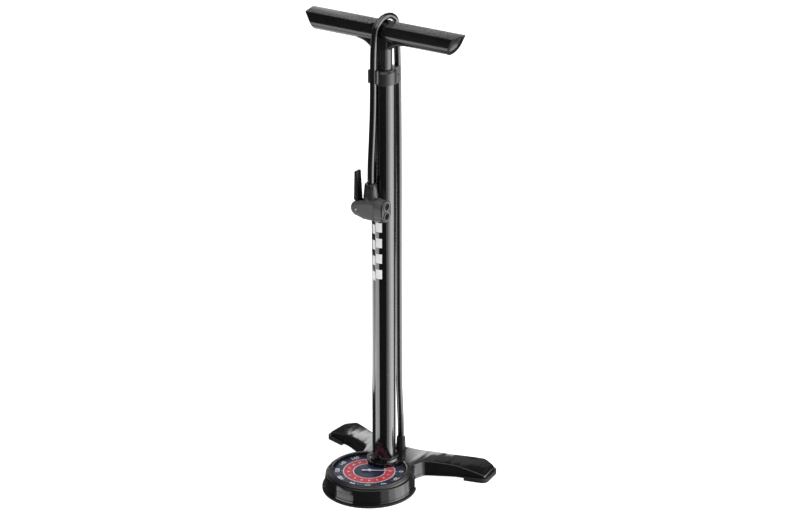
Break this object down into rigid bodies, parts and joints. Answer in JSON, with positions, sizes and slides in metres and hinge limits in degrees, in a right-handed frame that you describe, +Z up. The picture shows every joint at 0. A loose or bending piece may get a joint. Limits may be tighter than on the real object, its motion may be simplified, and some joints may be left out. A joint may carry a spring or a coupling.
{
  "type": "floor bike pump",
  "caption": "Upright floor pump for tyres: tall barrel on a winged foot with a round gauge, T-handle plunger, and a looped hose with a twin-port lever head.",
  "frame": {"origin": "on the floor, on the axis of the barrel", "axes": "+Z up along the barrel, X along the handle, the gauge faces -Y"},
  "size_m": [0.2862, 0.2196, 0.7286],
  "materials": {
    "base_plastic": "glossy moulded",
    "foot_rubber": "matt moulded rubber",
    "badge_plastic": "satin moulded",
    "steel_zinc": "bright zinc",
    "black_steel": "black oxide",
    "gauge_plastic": "moulded",
    "dial_print": "printed",
    "lens_clear": "clear, polished",
    "bezel_plastic": "satin moulded",
    "pointer_paint": "painted",
    "brass": "turned",
    "barrel_gloss": "gloss black lacquer",
    "rod_gloss": "gloss black",
    "white_acetal": "machined",
    "seal_rubber": "moulded",
    "spring_steel": "drawn wire",
    "cast_alloy": "cast",
    "nut_plastic": "satin moulded",
    "cap_plastic": "satin moulded",
    "grip_plastic": "satin moulded",
    "grip_end": "moulded",
    "hose_gloss": "glossy outer skin",
    "head_plastic": "fine texture",
    "lever_plastic": "fine texture",
    "plunger_plastic": "moulded"
  },
  "bodies": {
    "pump_frame": {"base_body": "base_plastic", "base_cover": "base_plastic", "front_foot_ring": "foot_rubber", "left_wing_foot": "foot_rubber", "right_wing_foot": "foot_rubber", "base_badge": "badge_plastic", "base_cover_screws": "steel_zinc", "barrel_screws": "steel_zinc", "lever_pin": "steel_zinc", "gauge_case": "gauge_plastic", "gauge_dial": "dial_print", "gauge_lens": "lens_clear", "gauge_bezel": "bezel_plastic", "bourdon_tube": "brass", "gauge_socket": "brass", "gauge_stem": "brass", "movement_plates": "brass", "movement_posts": "brass", "hose_stem": "brass", "head_barb": "brass", "barrel_tube": "barrel_gloss", "barrel_collar": "barrel_gloss", "valve_block": "white_acetal", "valve_seat": "white_acetal", "guide_bush": "white_acetal", "valve_block_seal": "seal_rubber", "rod_wiper": "seal_rubber", "presta_seal": "seal_rubber", "schrader_seal": "seal_rubber", "check_valve_spring": "spring_steel", "air_manifold": "cast_alloy", "hose_nut": "nut_plastic", "head_collar": "nut_plastic", "barrel_cap": "cap_plastic", "hose": "hose_gloss", "head_body": "head_plastic", "head_nose": "head_plastic", "nose_trim": "lever_plastic"},
    "plunger": {"handle_grip": "grip_plastic", "handle_core": "cast_alloy", "left_end_cap": "grip_end", "right_end_cap": "grip_end", "handle_bolt": "black_steel", "handle_washer": "black_steel", "piston_rod": "rod_gloss", "rod_insert": "cast_alloy", "piston_head": "white_acetal", "piston_seal": "seal_rubber", "piston_guide_band": "white_acetal", "piston_screw": "steel_zinc", "top_bumper": "seal_rubber"},
    "gauge_quadrant": {"gauge_sector": "brass", "sector_shaft": "steel_zinc"},
    "gauge_needle": {"gauge_pointer": "pointer_paint", "pointer_arbor": "brass"},
    "gauge_strap": {"gauge_link": "brass"},
    "check_valve": {"check_valve_disc": "white_acetal"},
    "lock_lever": {"head_lever": "lever_plastic"},
    "seal_plunger": {"head_plunger": "plunger_plastic", "valve_depressor": "brass"}
  },
  "joints": [
    {"name": "pump_stroke", "type": "slide", "parent": "pump_frame", "child": "plunger", "axis": [0, 0, 1], "range_m": [0, 0.53], "deforming": ["hose"]},
    {"name": "quadrant_turn", "type": "hinge", "parent": "pump_frame", "child": "gauge_quadrant", "pos_m": [0, -0.0623, 0.017], "axis": [0, 0, 1], "range_deg": [0, 40], "stiffness_Nm_per_rad": 0.004, "springref_deg": -11.46},
    {"name": "needle_turn", "type": "hinge", "parent": "pump_frame", "child": "gauge_needle", "pos_m": [0, -0.0413, 0.017], "axis": [0, 0, 1], "range_deg": [-240, 0]},
    {"name": "strap_turn", "type": "hinge", "parent": "gauge_quadrant", "child": "gauge_strap", "pos_m": [0.00354, -0.06584, 0.0189], "axis": [0, 0, 1], "range_deg": [-40, 0]},
    {"name": "valve_lift", "type": "slide", "parent": "pump_frame", "child": "check_valve", "axis": [0, 0, -1], "range_m": [0, 0.0015], "stiffness_N_per_m": 60, "springref_m": -0.002, "deforming": ["check_valve_spring"]},
    {"name": "lever_throw", "type": "hinge", "parent": "pump_frame", "child": "lock_lever", "pos_m": [-0.018, -0.034, 0.445], "axis": [0, -1, 0], "range_deg": [0, 90]},
    {"name": "seal_squeeze", "type": "slide", "parent": "pump_frame", "child": "seal_plunger", "axis": [1, 0, 0], "range_m": [0, 0.002]}
  ],
  "couplings": [
    {"joint": "needle_turn", "follows": "quadrant_turn", "ratio": -6},
    {"joint": "strap_turn", "follows": "quadrant_turn", "ratio": -1},
    {"joint": "seal_squeeze", "follows": "lever_throw", "m_per_rad": 0.0012732}
  ]
}
